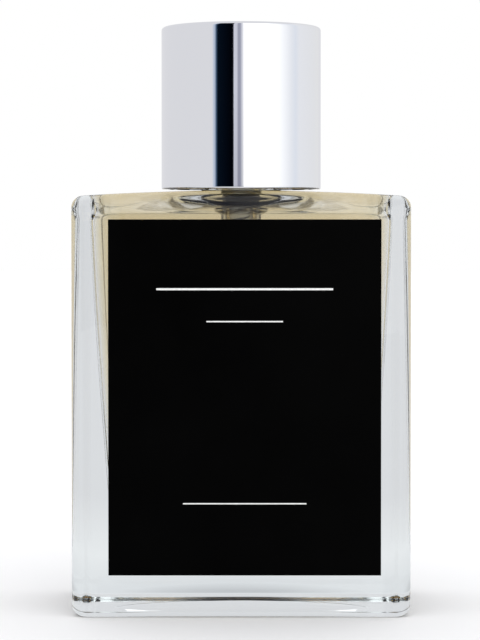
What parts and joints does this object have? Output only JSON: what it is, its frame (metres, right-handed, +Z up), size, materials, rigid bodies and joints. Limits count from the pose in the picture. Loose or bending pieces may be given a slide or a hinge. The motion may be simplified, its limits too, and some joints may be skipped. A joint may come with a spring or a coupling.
{
  "type": "perfume bottle",
  "caption": "Rectangular clear glass perfume bottle with a black front label, straw-coloured filling, crimped spray pump and a round bright metal cap.",
  "frame": {"origin": "on the surface that it stands on, under the middle of the bottle", "axes": "+Z up along the neck, -Y out of the labelled front face, +X to the right when seen from the front"},
  "size_m": [0.058, 0.0292, 0.1015],
  "materials": {
    "flint_glass": "polished clear",
    "straw_perfume": "clear liquid",
    "black_label_film": "satin black",
    "chrome_plate": "mirror",
    "bright_anodised_aluminium": "bright anodised",
    "spring_steel": "drawn wire",
    "white_polypropylene": "moulded satin",
    "natural_polyethylene": "milky translucent",
    "gasket_rubber": "matt grey"
  },
  "bodies": {
    "bottle": {"glass_bottle": "flint_glass", "perfume": "straw_perfume", "front_label": "black_label_film", "neck_gasket": "gasket_rubber", "pump_housing": "natural_polyethylene", "stem_guide": "white_polypropylene", "check_ball": "spring_steel", "return_spring": "spring_steel", "dip_tube": "natural_polyethylene", "crimp_ferrule": "bright_anodised_aluminium", "collar": "bright_anodised_aluminium", "cap_shell": "chrome_plate", "cap_liner": "white_polypropylene"},
    "plunger": {"pump_stem": "white_polypropylene", "piston": "natural_polyethylene"},
    "button": {"spray_button": "bright_anodised_aluminium", "nozzle_insert": "white_polypropylene"}
  },
  "joints": [
    {"name": "pump_press", "type": "slide", "parent": "bottle", "child": "plunger", "axis": [0, 0, -1], "range_m": [0, 0.0044], "stiffness_N_per_m": 1000, "springref_m": -0.004, "deforming": ["return_spring"]},
    {"name": "button_turn", "type": "hinge", "parent": "plunger", "child": "button", "pos_m": [0, 0, 0.0906], "axis": [0, 0, 1], "continuous": true}
  ]
}
